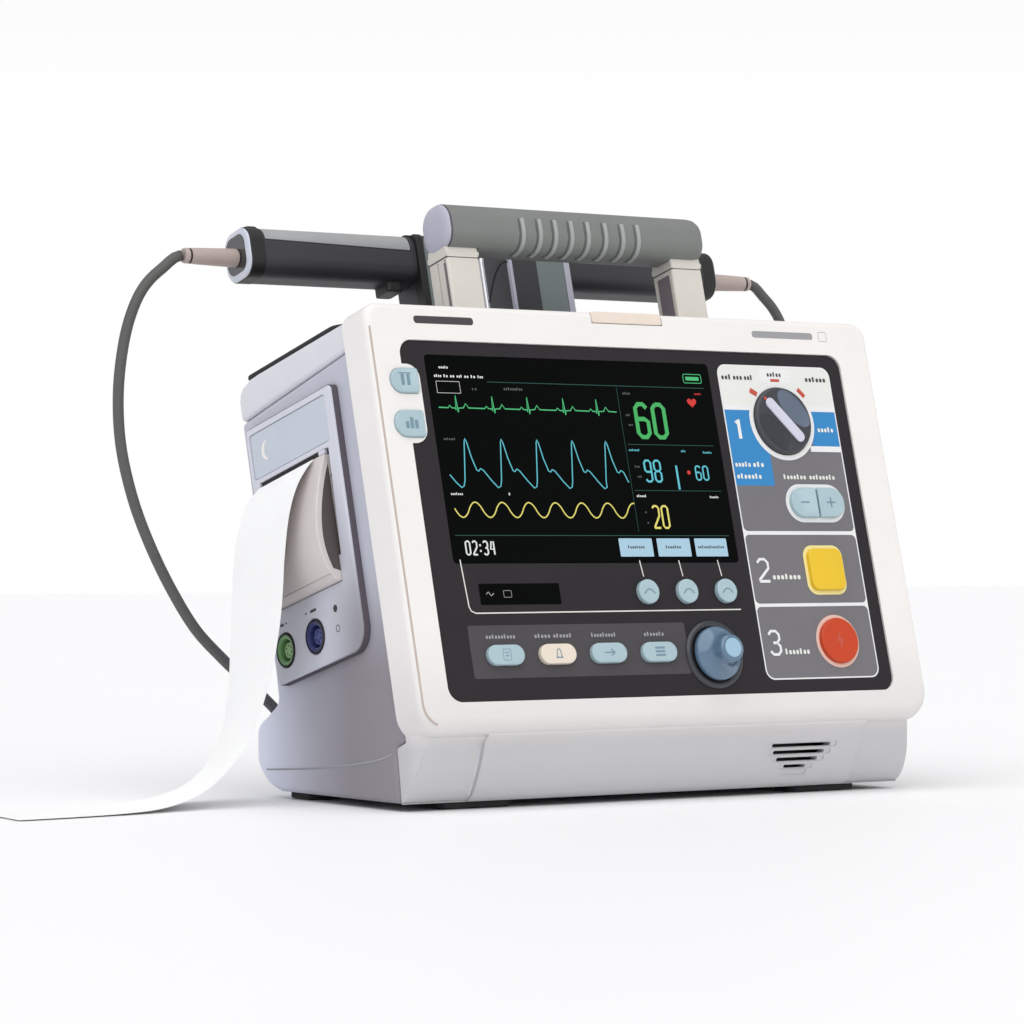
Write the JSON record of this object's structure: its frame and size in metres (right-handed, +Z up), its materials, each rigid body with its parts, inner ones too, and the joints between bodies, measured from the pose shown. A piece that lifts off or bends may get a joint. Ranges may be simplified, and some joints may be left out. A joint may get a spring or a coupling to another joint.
{
  "type": "defibrillator",
  "caption": "Portable monitor-defibrillator: leaning control panel with screen and rotary switch, side strip recorder, carrying handle and paired paddles on leads.",
  "frame": {"origin": "on the floor plane, at the centre of the footprint of the device with its paper strip, without the paddle leads", "axes": "+Z up, the control panel faces -Y, +X is to the right as seen from the front"},
  "size_m": [0.5053, 0.2758, 0.2754],
  "materials": {
    "housing_white": "satin moulded plastic, fine texture",
    "case_grey": "satin lavender grey moulded plastic",
    "cover_light": "satin light grey moulded plastic",
    "rubber_dark": "matt black rubber",
    "handle_white": "satin warm white plastic",
    "grip_grey": "soft grey rubber overmould",
    "panel_black": "black membrane panel, semi-gloss",
    "screen_glass": "clear hard-coated window over a lit display",
    "display_metal": "bare sheet metal",
    "lamp_beige": "translucent beige lens",
    "key_grey": "satin blue-grey silicone key",
    "key_cream": "satin cream key",
    "key_yellow": "satin yellow key",
    "key_orange": "satin orange-red key",
    "knob_dark": "satin charcoal plastic",
    "knob_blue": "satin blue-grey plastic",
    "steel": "turned steel",
    "electrode_metal": "brushed stainless plate",
    "door_warm": "satin warm grey plastic",
    "latch_dark": "matt dark plastic",
    "paper": "smooth thermal paper",
    "socket_green": "green moulded insert",
    "socket_blue": "dark blue moulded insert",
    "internal_dark": "matt dark plastic",
    "circuit_board": "green board",
    "plug_dark": "matt dark grey plastic",
    "paddle_dark": "matt charcoal plastic",
    "button_black": "matt black plastic",
    "lead_grey": "matt grey cable jacket",
    "relief_taupe": "matt taupe rubber"
  },
  "bodies": {
    "root": {"front_bezel": "housing_white", "rear_case": "case_grey", "top_cover": "cover_light", "paddle_tray": "rubber_dark", "handle_frame": "handle_white", "handle_grip": "grip_grey", "control_panel": "panel_black", "display_window": "screen_glass", "display_module": "display_metal", "alarm_lamp": "lamp_beige", "loudspeaker": "internal_dark", "side_module": "cover_light", "paper_strip": "paper", "ecg_socket": "socket_green", "spo2_socket": "socket_blue", "mains_inlet": "internal_dark", "therapy_socket": "internal_dark", "therapy_plug": "plug_dark", "foot_front_left": "rubber_dark", "foot_front_right": "rubber_dark", "foot_rear_left": "rubber_dark", "foot_rear_right": "rubber_dark", "chassis": "display_metal", "main_board": "circuit_board", "power_supply": "display_metal", "discharge_capacitor": "internal_dark", "left_lead_upper": "lead_grey", "left_lead_coil": "lead_grey", "left_lead_lower": "lead_grey", "right_lead_upper": "lead_grey", "right_lead_coil": "lead_grey", "right_lead_lower": "lead_grey"},
    "side_key_upper": {"side_key_upper": "key_grey"},
    "side_key_lower": {"side_key_lower": "key_grey"},
    "soft_key_left": {"soft_key_left": "key_grey"},
    "soft_key_middle": {"soft_key_middle": "key_grey"},
    "soft_key_right": {"soft_key_right": "key_grey"},
    "record_key": {"record_key": "key_grey"},
    "alarm_pause_key": {"alarm_pause_key": "key_cream"},
    "event_key": {"event_key": "key_grey"},
    "menu_key": {"menu_key": "key_grey"},
    "energy_down_key": {"energy_down_key": "key_grey"},
    "energy_up_key": {"energy_up_key": "key_grey"},
    "charge_key": {"charge_key": "key_yellow"},
    "shock_key": {"shock_key": "key_orange"},
    "mode_knob": {"mode_knob": "knob_dark"},
    "nav_shaft": {"nav_shaft": "steel"},
    "nav_knob": {"nav_knob": "knob_blue"},
    "recorder_door": {"recorder_door": "door_warm"},
    "recorder_latch": {"recorder_latch": "latch_dark"},
    "paper_roll": {"paper_roll": "paper"},
    "battery_pack": {"battery_pack": "internal_dark"},
    "left_paddle": {"left_paddle_shell": "paddle_dark", "left_electrode": "electrode_metal", "left_strain_relief": "relief_taupe"},
    "left_discharge_button": {"left_discharge_button": "button_black"},
    "right_paddle": {"right_paddle_shell": "paddle_dark", "right_electrode": "electrode_metal", "right_strain_relief": "relief_taupe"},
    "right_discharge_button": {"right_discharge_button": "button_black"}
  },
  "joints": [
    {"name": "side_key_upper_press", "type": "slide", "parent": "root", "child": "side_key_upper", "axis": [0, 0.9668, -0.2554], "range_m": [0, 0.0015], "stiffness_N_per_m": 600},
    {"name": "side_key_lower_press", "type": "slide", "parent": "root", "child": "side_key_lower", "axis": [0, 0.9668, -0.2554], "range_m": [0, 0.0015], "stiffness_N_per_m": 600},
    {"name": "soft_key_left_press", "type": "slide", "parent": "root", "child": "soft_key_left", "axis": [0, 0.9668, -0.2554], "range_m": [0, 0.0015], "stiffness_N_per_m": 600},
    {"name": "soft_key_middle_press", "type": "slide", "parent": "root", "child": "soft_key_middle", "axis": [0, 0.9668, -0.2554], "range_m": [0, 0.0015], "stiffness_N_per_m": 600},
    {"name": "soft_key_right_press", "type": "slide", "parent": "root", "child": "soft_key_right", "axis": [0, 0.9668, -0.2554], "range_m": [0, 0.0015], "stiffness_N_per_m": 600},
    {"name": "record_key_press", "type": "slide", "parent": "root", "child": "record_key", "axis": [0, 0.9668, -0.2554], "range_m": [0, 0.0015], "stiffness_N_per_m": 600},
    {"name": "alarm_pause_key_press", "type": "slide", "parent": "root", "child": "alarm_pause_key", "axis": [0, 0.9668, -0.2554], "range_m": [0, 0.0015], "stiffness_N_per_m": 600},
    {"name": "event_key_press", "type": "slide", "parent": "root", "child": "event_key", "axis": [0, 0.9668, -0.2554], "range_m": [0, 0.0015], "stiffness_N_per_m": 600},
    {"name": "menu_key_press", "type": "slide", "parent": "root", "child": "menu_key", "axis": [0, 0.9668, -0.2554], "range_m": [0, 0.0015], "stiffness_N_per_m": 600},
    {"name": "energy_down_key_press", "type": "slide", "parent": "root", "child": "energy_down_key", "axis": [0, 0.9668, -0.2554], "range_m": [0, 0.0015], "stiffness_N_per_m": 600},
    {"name": "energy_up_key_press", "type": "slide", "parent": "root", "child": "energy_up_key", "axis": [0, 0.9668, -0.2554], "range_m": [0, 0.0015], "stiffness_N_per_m": 600},
    {"name": "charge_key_press", "type": "slide", "parent": "root", "child": "charge_key", "axis": [0, 0.9668, -0.2554], "range_m": [0, 0.0015], "stiffness_N_per_m": 600},
    {"name": "shock_key_press", "type": "slide", "parent": "root", "child": "shock_key", "axis": [0, 0.9668, -0.2554], "range_m": [0, 0.0015], "stiffness_N_per_m": 600},
    {"name": "mode_select", "type": "hinge", "parent": "root", "child": "mode_knob", "pos_m": [0.14941, -0.052, 0.17539], "axis": [0, -0.9668, 0.2554], "range_deg": [-127, 58]},
    {"name": "nav_turn", "type": "hinge", "parent": "root", "child": "nav_shaft", "pos_m": [0.08676, -0.08084, 0.06623], "axis": [0, -0.9668, 0.2554], "continuous": true},
    {"name": "nav_press", "type": "slide", "parent": "nav_shaft", "child": "nav_knob", "axis": [0, 0.9668, -0.2554], "range_m": [0, 0.0015], "stiffness_N_per_m": 600},
    {"name": "recorder_door_open", "type": "hinge", "parent": "root", "child": "recorder_door", "pos_m": [-0.08024, 0.00432, 0.09494], "axis": [0, -0.9668, 0.2554], "range_deg": [0, 75], "deforming": ["paper_strip"]},
    {"name": "recorder_latch_press", "type": "slide", "parent": "root", "child": "recorder_latch", "axis": [1, 0, 0], "range_m": [0, 0.002], "stiffness_N_per_m": 600},
    {"name": "paper_roll_turn", "type": "hinge", "parent": "root", "child": "paper_roll", "pos_m": [-0.06294, 0.01389, 0.12137], "axis": [0, -0.9668, 0.2554], "continuous": true},
    {"name": "battery_slide", "type": "slide", "parent": "root", "child": "battery_pack", "axis": [0, 0.9668, -0.2554], "range_m": [0, 0.06]},
    {"name": "left_paddle_lift", "type": "slide", "parent": "root", "child": "left_paddle", "axis": [0, 0.2554, 0.9668], "range_m": [0, 0.08], "deforming": ["left_lead_upper"]},
    {"name": "left_discharge_press", "type": "slide", "parent": "left_paddle", "child": "left_discharge_button", "axis": [0, -0.2554, -0.9668], "range_m": [0, 0.0012], "stiffness_N_per_m": 600},
    {"name": "right_paddle_lift", "type": "slide", "parent": "root", "child": "right_paddle", "axis": [0, 0.2554, 0.9668], "range_m": [0, 0.08], "deforming": ["right_lead_upper"]},
    {"name": "right_discharge_press", "type": "slide", "parent": "right_paddle", "child": "right_discharge_button", "axis": [0, -0.2554, -0.9668], "range_m": [0, 0.0012], "stiffness_N_per_m": 600}
  ]
}
